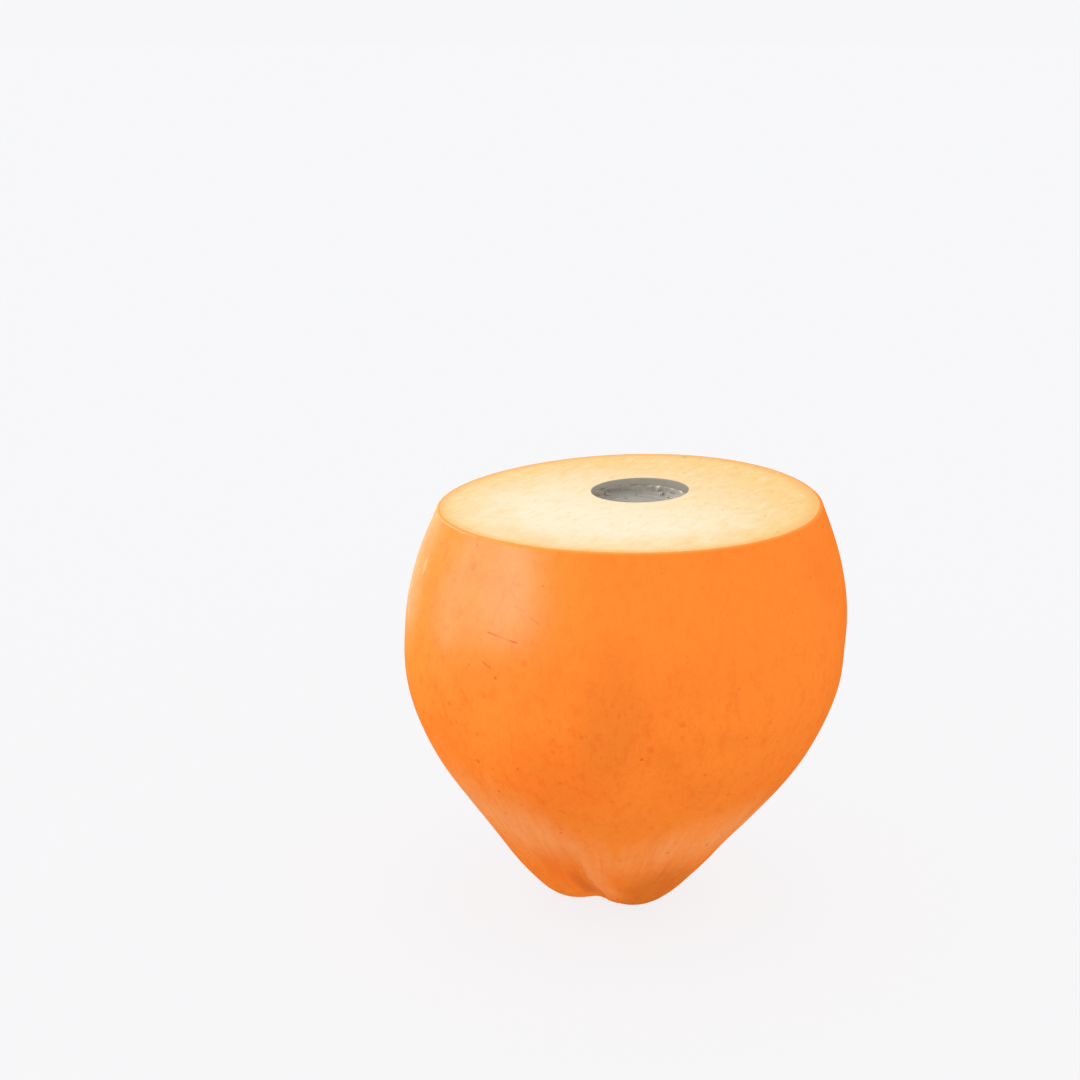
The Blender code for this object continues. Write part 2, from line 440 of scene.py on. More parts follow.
def is_outer_rim(edge):
    """Whether an edge lies between the skin's outside and its cut top."""
    if len(edge.link_faces) != 2:
        return False
    if any(abs(under_cut(point.co) - RIM_DROP) > ON_SKIN_EDGE for point in edge.verts):
        return False
    side, top = sorted(edge.link_faces, key=lambda face: face.normal.z)
    outside = side.normal.dot(way_round(edge.verts[0].co)) > 0
    return top.normal.z > RIM_FACES_UP and side.normal.z < RIM_FACES_UP and outside


def note_values(piece, name, rule):
    """Keeps a value at each point of a piece, for its material to read."""
    kept = piece.data.attributes.new(name, "FLOAT", "POINT")
    kept.data.foreach_set("value", [rule(point.co) for point in piece.data.vertices])


def flatten_feet(piece):
    """Presses what would sink into the floor flat on it."""
    edit(piece)
    pick_points(piece, lambda point: point.co.z < 0)
    bpy.ops.transform.resize(value=(1, 1, 0), center_override=(0, 0, 0))
    clear_selection()


def build_skin(cage):
    skin = duplicate(cage, "husk_skin")
    smooth_surface(skin, SMOOTH_LEVELS)
    push_out(skin, "tip_furrows", FURROW_HEIGHT, tip_furrows)
    push_out(skin, "crease", CREASE_DEPTH, crease)
    lining = duplicate(cage, "skin_lining")
    move_along_normals(lining, -SKIN_THICKNESS)
    divide_open_edges(lining, 2**SMOOTH_LEVELS)
    turn_inside_out(lining)
    for wall in (skin, lining):
        move_open_points(
            wall, lambda place: Vector((*place.xy, cut_height(place.x) - RIM_DROP))
        )
    join(skin, lining)
    bridge_open_edges(skin)
    edit(skin)
    pick_edges(skin, is_outer_rim)
    bpy.ops.mesh.bevel(offset=RIM_ROUNDING, segments=RIM_ROUNDING_STEPS, affect="EDGES")
    clear_selection()
    flatten_feet(skin)
    note_values(skin, "across_fold", across_fold)
    return skin


# The nut's balls, drawn onto the shell's solid.


def nut_ball(name, outer, offset=0.0):
    """A ball, open round the hole, drawn onto the shell's outside or onto its inside."""
    radius = NUT_OUTSIDE if outer else NUT_INSIDE
    shell_height = NUT_TOP - (0 if outer else SHELL_THICKNESS) - NUT_MIDDLE.z
    opening = math.atan2(HOLE_RADIUS + HOLE_SPARE, shell_height)
    clear_selection()
    bpy.ops.mesh.primitive_uv_sphere_add(
        segments=NUT_SEGMENTS, ring_count=NUT_RINGS, radius=radius, location=NUT_MIDDLE
    )
    ball = bpy.context.object
    ball.name = name
    settle(ball)
    edit(ball)
    bpy.ops.mesh.select_all(action="SELECT")
    top = NUT_MIDDLE + Vector((0, 0, radius * math.cos(opening)))
    bpy.ops.mesh.bisect(plane_co=top, plane_no=(0, 0, 1), clear_outer=True)
    clear_selection()
    wrap_onto(ball, "shell", outwards=not outer)
    if offset:
        move_along_normals(ball, offset)
    return ball


def round_opening(ball, radius):
    """Makes a ball's open edge a true circle round the hole."""

    def on_circle(place):
        way = (place.xy - HOLE_CENTRE).normalized()
        return Vector((*(HOLE_CENTRE + way * radius), place.z))

    move_open_points(ball, on_circle)


# The shell.


def hacked_wall(place):
    """The marks that the knife leaves on the wall of the hole."""
    if place.z < NUT_MIDDLE.z:
        return 0
    mark = layered_noise(place / HACK_SIZE, 3)
    away = soft_step(from_hole_axis(place), HOLE_RADIUS, HOLE_RADIUS + HACK_REACH)
    return mark * (1 - away)


def build_shell():
    shell = nut_ball("shell_layer", outer=True)
    inside = nut_ball("shell_inside", outer=False)
    for ball in (shell, inside):
        round_opening(ball, HOLE_RADIUS - SHELL_LIP)
    turn_inside_out(inside)
    join(shell, inside)
    bridge_open_edges(shell, RING_LOOPS)
    smooth_surface(shell, NUT_SMOOTH_LEVELS)
    push_out(shell, "hacked_wall", HACK_HEIGHT, hacked_wall)
    return shell


# The pulp.


def is_hole_edge(edge):
    """Whether an edge lies where the cut face meets the wall of the hole."""
    if any(abs(under_cut(point.co)) > ON_CUT for point in edge.verts):
        return False
    return all(abs(from_hole_axis(p.co) - HOLE_RADIUS) < ON_HOLE for p in edge.verts)


def cut_relief(place):
    """The cut face is not quite flat: broad waves of the blade, and the fibres' ends."""
    if under_cut(place) > CUT_RELIEF_DEPTH:
        return 0
    inside = soft_step(from_hole_axis(place), HOLE_RADIUS, HOLE_RADIUS + HOLE_FADE)
    inside *= 1 - soft_step((place.xy - FRUIT_AXIS).length, *RIM_FADE)
    wave = layered_noise(Vector((place.x, place.y * WAVE_SQUEEZE, 0)) / WAVE_SIZE, 2)
    along = place.x * math.cos(FIBRE_TURN) + place.y * math.sin(FIBRE_TURN)
    across = place.y * math.cos(FIBRE_TURN) - place.x * math.sin(FIBRE_TURN)
    fibre = noise.noise(Vector((along * FIBRE_STRETCH, across, 0)) / FIBRE_SIZE)
    return inside * (WAVE_SHARE * wave + FIBRE_SHARE * fibre)


def note_distance_from_skin(pulp):
    """Keeps at each point of the pulp how far it is from the skin along the cut."""
    shape = bmesh.new()
    shape.from_mesh(pulp.data)
    rim = []
    for point in shape.verts:
        on_rim = any(face.normal.z < CUT_FACES_UP for face in point.link_faces)
        if on_rim and under_cut(point.co) < ON_PULP_RIM:
            if from_hole_axis(point.co) > 2 * HOLE_RADIUS:
                rim.append(point.co.copy())
    shape.free()
    tree = kdtree.KDTree(len(rim))
    for index, place in enumerate(rim):
        tree.insert(place, index)
    tree.balance()
    note_values(pulp, "from_skin", lambda place: tree.find(place)[2])


def build_pulp(cage):
    pulp = duplicate(cage, "husk_pulp")
    move_along_normals(pulp, SKIN_OVERLAP - SKIN_THICKNESS)
    move_open_points(pulp, lambda place: Vector((*place.xy, cut_height(place.x))))
    divide_open_edges(pulp, 2**SMOOTH_LEVELS)
    edit(pulp)
    bpy.ops.mesh.primitive_circle_add(
        vertices=WALL_SEGMENTS * 2**SMOOTH_LEVELS,
        radius=HOLE_RADIUS,
        location=(*HOLE_CENTRE, cut_height(HOLE_CENTRE.x)),
        rotation=(0, -CUT_TILT, 0),
    )
    bridge_open_edges(pulp, FACE_LOOPS)
    bed = nut_ball("pulp_bed", outer=True, offset=-BED_OVERLAP)
    round_opening(bed, HOLE_RADIUS)
    divide_open_edges(bed, 2**SMOOTH_LEVELS)
    turn_inside_out(bed)
    join(pulp, bed)
    bridge_open_edges(pulp, HOLE_WALL_LOOPS)
    edit(pulp)
    pick_edges(pulp, is_hole_edge)
    bpy.ops.mesh.bevel(offset=HOLE_ROUNDING, segments=HOLE_ROUNDING_STEPS, affect="EDGES")
    face_outwards(pulp)
    push_out(pulp, "cut_relief", CUT_RELIEF, cut_relief)
    note_distance_from_skin(pulp)
    return pulp


# The drink.


def is_water_top(place):
    return place.z > WATER_LEVEL - WATER_TOP_DEPTH


def climb(place):
    """The drink's edge climbs the shell."""
    if not is_water_top(place):
        return 0
    to_wall = HOLE_RADIUS - SHELL_LIP - from_hole_axis(place)
    return math.exp(-max(to_wall, 0) / CLIMB_WIDTH)


def ripples(place):
    """Rings round one spot, and a slight sway all over."""
    if not is_water_top(place):
        return 0
    away = (place.xy - HOLE_CENTRE - RIPPLE_SOURCE).length
    ring = math.cos(math.tau * away / RIPPLE_LENGTH) * math.exp(-away / RIPPLE_FADE)
    return RING_SHARE * ring + SWAY_SHARE * noise.noise(place / SWAY_SIZE)


def build_water():
    water = nut_ball("water_in_shell", outer=False, offset=WATER_OVERLAP)
    round_opening(water, HOLE_RADIUS - SHELL_LIP + WATER_OVERLAP)
    edit(water)
    pick_edges(water, is_open)
    bpy.ops.mesh.extrude_region_move(TRANSFORM_OT_translate={"value": (0, 0, 1 * MM)})
    # Whatever that rise was, the new edge now lies level with the drink.
    bpy.ops.transform.resize(value=(1, 1, 0), center_override=(0, 0, WATER_LEVEL))
    bpy.ops.mesh.select_all(action="DESELECT")
    bpy.ops.mesh.primitive_circle_add(
        vertices=NUT_SEGMENTS,
        radius=WATER_MIDDLE,
        location=(*HOLE_CENTRE, WATER_LEVEL),
        fill_type="NGON",
    )
    bridge_open_edges(water, WATER_LOOPS)
    face_outwards(water)
    smooth_surface(water, NUT_SMOOTH_LEVELS)
    push_out(water, "climb", CLIMB_HEIGHT, climb, "Z")
    push_out(water, "ripples", RIPPLE_HEIGHT, ripples, "Z")
    join(water, *float_bubbles())
    return water


def water_height(spot):
    """The height of the drink's surface at a spot in the hole."""
    place = Vector((*spot, WATER_LEVEL))
    return WATER_LEVEL + CLIMB_HEIGHT * climb(place) + RIPPLE_HEIGHT * ripples(place)


def float_bubbles():
    """Flat-bottomed domes on the drink, most of them along the shell."""
    draw = random.Random(BUBBLE_SEED)
    bubbles = []
    for index in range(BUBBLES):
        radius = draw.uniform(*BUBBLE_RADII)
        turn = math.tau * (index + draw.uniform(-BUBBLE_SHIFT, BUBBLE_SHIFT)) / BUBBLES
        from_wall = radius + BUBBLE_STRAY * draw.random() ** BUBBLE_CROWDING
        reach = HOLE_RADIUS - SHELL_LIP - from_wall
        spot = HOLE_CENTRE + Vector((math.cos(turn), math.sin(turn))) * reach
        waterline = water_height(spot)
        clear_selection()
        bpy.ops.mesh.primitive_uv_sphere_add(
            segments=BUBBLE_SEGMENTS,
            ring_count=BUBBLE_RINGS,
            radius=radius,
            location=(*spot, waterline + (BUBBLE_CUT - BUBBLE_SINK) * radius),
        )
        bubble = bpy.context.object
        settle(bubble)
        edit(bubble)
        bpy.ops.mesh.select_all(action="SELECT")
        bottom = (*spot, waterline - BUBBLE_SINK * radius)
        bpy.ops.mesh.bisect(plane_co=bottom, plane_no=(0, 0, 1), clear_inner=True)
        pick_edges(bubble, is_open)
        bpy.ops.mesh.edge_face_add()
        clear_selection()
        bubbles.append(bubble)
    return bubbles


# Materials.


class Paint:
    """A material and short hands for laying out its nodes."""

    def __init__(self, name):
        self.material = bpy.data.materials.new(name)
        self.material.use_nodes = True
        self.tree = self.material.node_tree
        self.shader = self.tree.nodes["Principled BSDF"]
        self.place = self.add("TexCoord").outputs["Object"]

    def add(self, kind, inputs=None, **settings):
        node = self.tree.nodes.new("ShaderNode" + kind)
        for name, value in settings.items():
            setattr(node, name, value)
        for name, value in (inputs or {}).items():
            self.set(node.inputs[name], value)
        return node

    def set(self, socket, value):
        if isinstance(value, bpy.types.NodeSocket):
            self.tree.links.new(value, socket)
        else:
            socket.default_value = value

    def maths(self, operation, first, second=0.0):
        node = self.add("Math", operation=operation)
        self.set(node.inputs[0], first)
        self.set(node.inputs[1], second)
        return node.outputs[0]

    def vector(self, operation, first, second=(0, 0, 0)):
        node = self.add("VectorMath", operation=operation)
        self.set(node.inputs[0], first)
        self.set(node.inputs[1], second)
        output = "Value" if operation in ("LENGTH", "DOT_PRODUCT", "DISTANCE") else "Vector"
        return node.outputs[output]

    def times(self, first, second):
        return self.maths("MULTIPLY", first, second)

    def minus(self, first, second):
        return self.maths("SUBTRACT", first, second)

    def towards(self, places, direction):
        """How far each place lies in a direction."""
        return self.vector("DOT_PRODUCT", places, direction)

    def above(self, height):
        """A place this high above the origin."""
        return self.add("CombineXYZ", {"X": 0.0, "Y": 0.0, "Z": height}).outputs[0]

    def step(self, value, low, high, start=0.0, end=1.0):
        """A soft step of the value from start, at low, to end, at high."""
        node = self.add("MapRange", interpolation_type="SMOOTHSTEP")
        names = ("Value", "From Min", "From Max", "To Min", "To Max")
        for name, number in zip(names, (value, low, high, start, end)):
            self.set(node.inputs[name], number)
        return node.outputs["Result"]

    def mix(self, first, second, share, blend="MIX"):
        node = self.add("Mix", data_type="RGBA", blend_type=blend)
        self.set(node.inputs[0], share)
        self.set(node.inputs[6], colour(first))
        self.set(node.inputs[7], colour(second))
        return node.outputs[2]

    def tint(self, tone, by, share):
        """Multiplies a tone by a colour, as far as the share says."""
        return self.mix(tone, by, share, "MULTIPLY")

    def noise(self, size, detail=2.0, roughness=0.5, at=None, seed=0.0):
        """A cloudy pattern from about 0 to 1, its features about the size given."""
        inputs = {"Vector": at or self.place, "Scale": 1 / size, "W": seed}
        inputs.update({"Detail": detail, "Roughness": roughness})
        return self.add("TexNoise", inputs, noise_dimensions="4D").outputs["Fac"]

    def shaken(self, size, reach):
        """The place, shifted about a little, so that what is drawn there comes out uneven."""
        drift = self.add("TexNoise", {"Vector": self.place, "Scale": 1 / size}).outputs["Color"]
        drift = self.vector("SUBTRACT", drift, (0.5, 0.5, 0.5))
        drift = self.vector("MULTIPLY", drift, (reach, reach, reach))
        return self.vector("ADD", self.place, drift)

    def spots(self, spacing, radius, share, at=None):
        """Scattered spots of uneven size and strength, in a share of a loose pattern's cells."""
        cell = self.add("TexVoronoi", {"Vector": at or self.place, "Scale": 1 / spacing})
        chance = self.add("SeparateColor", {"Color": cell.outputs["Color"]}).outputs
        size = self.times(self.step(chance[0], 0, 1, 0.4, 1.3), radius / spacing)
        away = self.maths("DIVIDE", cell.outputs["Distance"], size)
        kept = self.maths("LESS_THAN", chance[1], share)
        strength = self.times(kept, self.step(chance[2], 0, 1, 0.35, 1))
        return self.times(self.step(away, 0.3, 1.1, 1, 0), strength)

    def bump(self, height, depth, under=None):
        inputs = {"Height": height, "Distance": depth, "Strength": 1.0}
        if under:
            inputs["Normal"] = under
        return self.add("Bump", inputs).outputs["Normal"]

    def finish(self, **sockets):
        for name, value in sockets.items():
            socket = self.shader.inputs[name.replace("_", " ")]
            self.set(socket, colour(value) if name == "Base_Color" else value)
        return self.material


def colour(value):
    if isinstance(value, tuple) and len(value) == 3:
        return (*value, 1)
    return value


ORANGE = (0.96, 0.234, 0.023)
RED_ORANGE = (0.95, 0.203, 0.018)
OLIVE_ORANGE = (0.865, 0.207, 0.019)
PAINTED_SHEEN = (0.98, 0.49, 0.21)  # painted sheen: the pale light low on the flanks, and on the ridge right of the fold
STREAK_RED = (0.93, 0.165, 0.014)
FRECKLE_RED = (0.80, 0.125, 0.012)
SPECK_BROWN = (0.45, 0.07, 0.01)
SCAR_PINK = (0.95, 0.48, 0.25)
# painted shade, in brown, for the hollow left of the fold and its crease
SHADE_BROWN = (0.62, 0.13, 0.02)
RIM_ORANGE = (0.93, 0.275, 0.042)

# Tints that multiply the colour under them.
DAPPLE_TINT, FINE_DAPPLE_TINT = (0.95, 0.82, 0.74), (0.96, 0.85, 0.80)
# The lobe's tint is painted shade, low on the front right lobe near the floor.
LOBE_SHADE_TINT = (0.77, 0.78, 0.81)

# The way to the left, and to the two flanks, which lie a little to the front.
LEFT = (-1, 0, 0)
LEFT_FLANK, RIGHT_FLANK = (-0.87, -0.49, 0), (0.87, -0.49, 0)

# The lines that run down to the tip, each kind with its rate round the fruit and its length.
FINE_LINES, BROAD_LINES = (26, 22 * MM), (9, 30 * MM)

# The painted pale sheen low down: the heights over which it comes in, how high it reaches in front
# and how much higher on the flanks, over what height it dies out, and how ragged its upper edge
# is.
SHEEN_FOOT = (14 * MM, 40 * MM)
SHEEN_TOP, SHEEN_FLANK_RISE, SHEEN_FADE, SHEEN_RAGGED = 42 * MM, 22 * MM, 24 * MM, 20 * MM
RED_FOOT, RED_TOP = (3 * MM, 10 * MM), (40 * MM, 22 * MM)  # where the red streaks come and go

# The bands along the fold: each one's middle and reach across it, its foot and its top, all in
# millimetres, and its colour and share. The red one's share is uneven.
FOLD_BANDS = (
    (-9, 11, 8, 38, STREAK_RED, None),
    # painted shade in the hollow left of the fold
    (-4, 4, 4, 24, SHADE_BROWN, 0.5),
    # painted highlight on the ridge right of the fold
    (4, 6, 4, 34, PAINTED_SHEEN, 0.2),
)
CREASE_SHADE_REACH = 1.4 * MM  # how far the painted shade along the line of the fold reaches to each side

# The marks on the skin, each placed by its turn round the fruit in degrees, -90 in front, and its
# height in millimetres. They are drawn as on a drum of one radius.
DRUM_RADIUS = 70
BLOTCH, BLOTCH_REACH = (-93, 88), (15, 32)
RED_PATCH, RED_REACH = (-106, 66), (26, 22)
# LOBE_SHADE is painted shade, darker low on the front right lobe near the floor.
LOBE_SHADE, LOBE_SHADE_REACH = (-60, 12), (36, 19)
SCAR, SCAR_REACH = (-161, 121.5), (1.6, 3.4)
SCRATCHES = (  # each from one end to the other, its width and its strength
    ((-128, 110.4), (-119, 109.3), 0.3, 0.7),
    ((-128.5, 101), (-126, 99.7), 0.3, 0.55),
    ((-116, 117.4), (-113, 116), 0.22, 0.45),
    ((-123.5, 126), (-120, 126), 0.3, 0.3),
    ((-123.3, 123.6), (-121.3, 121.6), 0.3, 0.3),
    ((-121.5, 119.8), (-118, 118.8), 0.3, 0.3),
)
BROWN_SPECKS = (  # each with its radius, as the red ones have
    ((-124.3, 97), 0.6),
    ((-133, 99), 0.4),
    ((-130, 107.6), 0.35),
    ((-162, 119.7), 0.4),
    ((-118, 133.3), 0.35),
    ((-114, 127), 0.4),
    ((-128, 55.4), 0.6),
    ((-118, 67.6), 0.4),
    ((-85, 76), 0.5),
    ((-68, 33), 0.5),
    ((-52, 34), 0.6),
    ((-26, 117.5), 0.4),
)
RED_SPECKS = (
    ((-116, 103.7), 1.0),
    ((-156, 130), 1.1),
    ((-138, 128), 1.2),
    ((-145.5, 87.3), 1.2),
    ((-127.6, 90.5), 1.2),
    ((-149, 96.5), 0.9),
    ((-83, 79.4), 1.3),
    ((-76, 87.6), 1.1),
)


def axis_direction(paint):
    """The level direction from the leaning axis to each place, one unit long, and the height."""
    parts = paint.add("SeparateXYZ", {"Vector": paint.place})
    share = paint.minus(1.0, paint.maths("DIVIDE", parts.outputs[2], CUT_CENTRE.z))
    lean = paint.times(share, TIP_LEAN)
    x = paint.minus(parts.outputs[0], paint.maths("ADD", lean, FRUIT_AXIS.x))
    y = paint.minus(parts.outputs[1], FRUIT_AXIS.y)
    flat = paint.add("CombineXYZ", {"X": x, "Y": y, "Z": 0.0}).outputs[0]
    return paint.vector("NORMALIZE", flat), parts.outputs[2]


def depth_under_cut(paint):
    parts = paint.add("SeparateXYZ", {"Vector": paint.place}).outputs
    across = paint.minus(parts[0], CUT_CENTRE.x)
    rise = paint.times(across, math.tan(CUT_TILT))
    return paint.minus(paint.maths("ADD", rise, CUT_CENTRE.z), parts[2])


def drum_places(paint, way, height):
    """Each place on the skin as it lies on the drum."""
    around = paint.vector("MULTIPLY", way, (DRUM_RADIUS * MM, DRUM_RADIUS * MM, 0))
    return paint.vector("ADD", around, paint.above(height))


def on_drum(turn, height):
    turn = math.radians(turn)
    return Vector((DRUM_RADIUS * math.cos(turn), DRUM_RADIUS * math.sin(turn), height)) * MM


def patch(paint, drum, middle, reach, ragged):
    """From 1 at the middle of an oval patch to 0 round its ragged edge."""
    off = paint.vector("SUBTRACT", drum, tuple(on_drum(*middle)))
    wide, high = (1 / (part * MM) for part in reach)
    off = paint.vector("MULTIPLY", off, (wide, wide, high))
    away = paint.maths("ADD", paint.vector("LENGTH", off), paint.minus(ragged, 0.5))
    return paint.step(away, 0.3, 1.05, 1, 0)


def scratch(paint, drum, start, end, width):
    """A thin line from one place to another on the skin, that thins and breaks up."""
    start, end = on_drum(*start), on_drum(*end)
    length = (end - start).length
    unit = (end - start) / length
    off = paint.vector("SUBTRACT", drum, tuple(start))
    along = paint.maths("MINIMUM", paint.towards(off, tuple(unit)), length)
    along = paint.maths("MAXIMUM", along, 0.0)
    nearest = paint.add("VectorMath", operation="SCALE")
    nearest.inputs[0].default_value = unit
    paint.set(nearest.inputs["Scale"], along)
    away = paint.vector("LENGTH", paint.vector("SUBTRACT", off, nearest.outputs[0]))
    broken = paint.step(paint.noise(1.6 * MM, 1, at=off), 0.35, 0.5, 0.5, 1)
    line = paint.step(away, 0.5 * width * MM, 1.6 * width * MM, 1, 0)
    return paint.times(line, broken)


def speck(paint, drum, place, radius):
    away = paint.vector("DISTANCE", drum, tuple(on_drum(*place)))
    return paint.step(away, 0.3 * radius * MM, 1.5 * radius * MM, 1, 0)


def strokes(paint, way, height, rate, length):
    """A pattern of lines that run up and down the fruit, the finer the higher the rate."""
    around = paint.vector("MULTIPLY", way, (rate, rate, 0))
    up = paint.above(paint.maths("DIVIDE", height, length))
    return paint.noise(1.0, 3, 0.6, at=paint.vector("ADD", around, up))


def dapples(paint, tone, way, height):
    """Soft darker dapples, from half a millimetre to a few, stronger low down and on the left."""
    drawn_out = paint.vector("MULTIPLY", paint.place, (1, 1, 0.6))
    broad = paint.step(paint.noise(3.2 * MM, 3, 0.6, at=drawn_out), 0.46, 0.72, 0, 0.75)
    fine = paint.step(paint.noise(0.9 * MM, 2, 0.7, at=drawn_out, seed=2), 0.46, 0.72, 0, 0.7)
    left = paint.step(paint.towards(way, LEFT), 0, 0.8, 0, 1.4)
    strength = paint.maths("MAXIMUM", left, paint.step(height, 120 * MM, 85 * MM, 0.5, 1))
    tone = paint.tint(tone, DAPPLE_TINT, paint.times(broad, strength))
    return paint.tint(tone, FINE_DAPPLE_TINT, paint.times(fine, strength))


def scattered_spots(paint, tone, height):
    """Freckles, thicker low down, and pores and a few brown spots all over."""
    at = paint.shaken(1.3 * MM, 1.1 * MM)
    crowd = paint.step(paint.noise(18 * MM, 3, seed=3), 0.42, 0.62, 0.18, 0.95)
    crowd = paint.times(crowd, paint.step(height, 122 * MM, 84 * MM, 0.35, 1))
    for spacing, radius, share, strength, pigment in (
        (3.0 * MM, 0.8 * MM, 0.6, crowd, FRECKLE_RED),
        (1.6 * MM, 0.34 * MM, 0.5, 0.5, FRECKLE_RED),
        (9 * MM, 0.55 * MM, 0.5, 0.6, SPECK_BROWN),
    ):
        spots = paint.spots(spacing, radius, share, at)
        tone = paint.mix(tone, pigment, paint.times(spots, strength))
    return tone


def placed_marks(paint, tone, drum):
    """The scar, the specks and the scratches, each in its own place."""
    scar = patch(paint, drum, SCAR, SCAR_REACH, paint.noise(1.5 * MM, 2))
    tone = paint.mix(tone, SCAR_PINK, paint.times(scar, 0.4))
    for specks, strength, pigment in (
        (RED_SPECKS, 0.45, FRECKLE_RED),
        (BROWN_SPECKS, 0.55, SPECK_BROWN),
    ):
        for place, radius in specks:
            share = paint.times(speck(paint, drum, place, radius), strength)
            tone = paint.mix(tone, pigment, share)
    for start, end, width, strength in SCRATCHES:
        share = paint.times(scratch(paint, drum, start, end, width), strength)
        tone = paint.mix(tone, SPECK_BROWN, share)
    return tone


def low_flanks(paint, tone, way, height):
    """Painted pale sheen low down all round, higher on the flanks, and red streaks near the tip.
    """
    fine_lines = strokes(paint, way, height, *FINE_LINES)
    broad_lines = strokes(paint, way, height, *BROAD_LINES)
    left = paint.step(paint.towards(way, LEFT_FLANK), 0.4, 1.0)
    right = paint.step(paint.towards(way, RIGHT_FLANK), 0.4, 1.0, 0, 0.75)
    flank = paint.maths("MAXIMUM", left, right)
    # Painted sheen: pale light put into the colour low on the flanks, with a ragged upper edge.
    ragged = paint.times(paint.minus(broad_lines, 0.5), SHEEN_RAGGED)
    uneven = paint.maths("ADD", height, ragged)
    top = paint.maths("ADD", paint.times(flank, SHEEN_FLANK_RISE), SHEEN_TOP)
    below_top = paint.step(paint.minus(top, uneven), 0, SHEEN_FADE)
    sheen_share = paint.times(below_top, paint.step(uneven, *SHEEN_FOOT))
    sheen_share = paint.times(sheen_share, paint.step(fine_lines, 0.3, 0.6, 0.44, 0.26))
    tone = paint.mix(tone, PAINTED_SHEEN, sheen_share)
    low_down = paint.step(height, *RED_TOP)
    low_down = paint.times(low_down, paint.step(height, *RED_FOOT))
    for lines, share in ((broad_lines, 0.55), (fine_lines, 0.35)):
        scattered = paint.times(paint.step(lines, 0.52, 0.7, 0, share), low_down)
        tone = paint.mix(tone, STREAK_RED, scattered)
    return tone, fine_lines, broad_lines


def fold_colours(paint, tone, height, broad_lines):
    """Red streaks, and painted shade in brown in the hollow left of the fold and along its line; a
    painted highlight on the ridge on its right.
    """
    across = paint.add("Attribute", attribute_name="across_fold").outputs["Fac"]
    streaked = paint.step(broad_lines, 0.35, 0.6, 0.25, 0.8)
    for middle, reach, low, high, pigment, share in FOLD_BANDS:
        off = paint.maths("ABSOLUTE", paint.minus(across, middle * MM))
        near = paint.step(off, reach * MM, 0.2 * reach * MM)
        span = high - low
        above = paint.step(height, low * MM, (low + 0.3 * span) * MM)
        below = paint.step(height, high * MM, (low + 0.5 * span) * MM)
        near = paint.times(near, paint.times(above, below))
        tone = paint.mix(tone, pigment, paint.times(near, share or streaked))
    # painted shade along the crease of the fold
    line = paint.times(paint.step(paint.maths("ABSOLUTE", across), CREASE_SHADE_REACH, 0.0), 0.3)
    line = paint.times(line, paint.step(height, 30 * MM, 12 * MM))
    return paint.mix(tone, SHADE_BROWN, line)


def orange_skin():
    paint = Paint("orange_skin")
    way, height = axis_direction(paint)
    drum = drum_places(paint, way, height)
    clouds = paint.noise(13 * MM, 3, seed=7)
    tone = paint.mix(ORANGE, RED_ORANGE, paint.step(paint.noise(34 * MM, 3), 0.45, 0.7, 0, 0.7))
    tone = paint.mix(tone, RED_ORANGE, patch(paint, drum, RED_PATCH, RED_REACH, clouds))
    tone = paint.mix(tone, OLIVE_ORANGE, paint.step(clouds, 0.52, 0.72, 0, 0.45))
    tone = paint.mix(tone, OLIVE_ORANGE, patch(paint, drum, BLOTCH, BLOTCH_REACH, clouds))
    tone = dapples(paint, tone, way, height)
    tone, fine_lines, broad_lines = low_flanks(paint, tone, way, height)
    tone = fold_colours(paint, tone, height, broad_lines)
    # Painted shade, low on the front right lobe near the floor.
    shade = patch(paint, drum, LOBE_SHADE, LOBE_SHADE_REACH, clouds)
    tone = paint.tint(tone, LOBE_SHADE_TINT, shade)
    tone = scattered_spots(paint, tone, height)
    tone = placed_marks(paint, tone, drum)
    at_rim = paint.step(depth_under_cut(paint), 0.12 * MM, 0.6 * MM, 1, 0)
    tone = paint.mix(tone, RIM_ORANGE, at_rim)
    normal = paint.bump(paint.noise(0.8 * MM, 2, 0.6), 0.03 * MM)
    lines_depth = paint.step(height, 75 * MM, 30 * MM)
    normal = paint.bump(paint.times(fine_lines, lines_depth), 0.25 * MM, normal)
    return paint.finish(
        Base_Color=tone,
        Roughness=0.6,
        Normal=normal,
        Specular_IOR_Level=0.0,
        Coat_Weight=0.2,
        Coat_Roughness=0.35,
        Coat_Normal=normal,
    )


PALE_CREAM = (0.985, 0.865, 0.625)
YELLOW_CREAM = (0.975, 0.66, 0.262)
RIM_AMBER = (0.97, 0.52, 0.165)
TAUPE, DARK_TAUPE = (0.415, 0.38, 0.32), (0.33, 0.30, 0.245)
FIBRE_TINT, BRUSHED_TINT = (0.985, 0.90, 0.76), (0.985, 0.92, 0.80)
PIT_TINT = (0.96, 0.78, 0.52)
SHELL_FIBRE_TINT = (0.8, 0.8, 0.78)
CLEAR_WATER, HAZY_WATER = (0.48, 0.455, 0.395), (0.57, 0.54, 0.48)
YELLOW_SIDE = (math.cos(math.radians(52)), math.sin(math.radians(52)), 0)  # far on the right
PIT_SIDE = (0.9, 0.44, 0)


def along_fibres(paint, stretch):
    """The places, turned and drawn out the way that the knife drew the fibres."""
    turned = paint.add("Mapping", {"Vector": paint.place, "Rotation": (0, 0, -FIBRE_TURN)})
    return paint.vector("MULTIPLY", turned.outputs[0], (stretch, 1, 0))


def fibre_pits(paint):
    """Short slanting pits where fibres came away, in loose rows on the far right of the cut."""
    pit = paint.spots(2.4 * MM, 0.6 * MM, 0.8, along_fibres(paint, 0.4))
    right = paint.towards(paint.place, PIT_SIDE)
    right = paint.step(right, 5 * MM, 32 * MM, 0.15, 1)
    patchy = paint.step(paint.noise(7 * MM, 2, seed=4), 0.44, 0.6)
    return paint.times(pit, paint.times(right, patchy))


